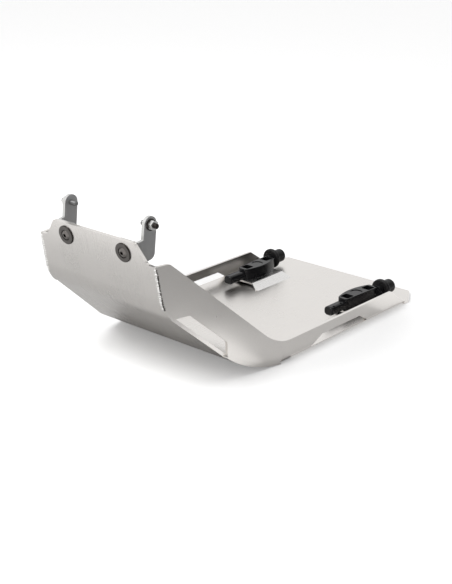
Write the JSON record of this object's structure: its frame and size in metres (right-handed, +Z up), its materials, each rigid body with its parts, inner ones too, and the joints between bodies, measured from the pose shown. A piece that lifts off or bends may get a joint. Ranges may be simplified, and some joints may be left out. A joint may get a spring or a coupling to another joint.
{
  "type": "engine guard",
  "caption": "Folded aluminium skid plate for a motorbike, with an upturned nose, welded side wings, bolted steel front tabs and plug-in rear mounts.",
  "frame": {"origin": "on the flat underside of the floor, on the plane of symmetry", "axes": "+Z up, +Y towards the rear, the nose towards -Y, +X towards the rider's left"},
  "size_m": [0.25, 0.4839, 0.2075],
  "materials": {
    "plate_aluminium": "satin",
    "tab_steel": "matt zinc",
    "dark_fixings": "satin black",
    "bright_fixings": "bright zinc",
    "bright_sheet": "satin",
    "mount_moulding": "matt",
    "plug_rubber": "satin"
  },
  "bodies": {
    "root": {"skid_plate": "plate_aluminium", "front_tab_left": "tab_steel", "front_tab_right": "tab_steel", "nose_cup_left": "dark_fixings", "nose_cup_right": "dark_fixings", "nose_screw_left": "dark_fixings", "nose_screw_right": "dark_fixings", "nose_nut_left": "bright_fixings", "nose_nut_right": "bright_fixings", "tab_stud_left": "dark_fixings", "tab_stud_right": "dark_fixings", "tab_washer_left": "dark_fixings", "tab_washer_right": "dark_fixings", "tab_nut_left": "bright_fixings", "tab_nut_right": "bright_fixings", "mount_channel_left": "bright_sheet", "mount_channel_right": "bright_sheet", "rear_mount_left": "mount_moulding", "rear_mount_right": "mount_moulding", "rear_plug_left": "plug_rubber", "rear_plug_right": "plug_rubber", "mount_screw_front_left": "bright_fixings", "mount_screw_front_right": "bright_fixings", "mount_screw_rear_left": "bright_fixings", "mount_screw_rear_right": "bright_fixings"}
  },
  "joints": []
}
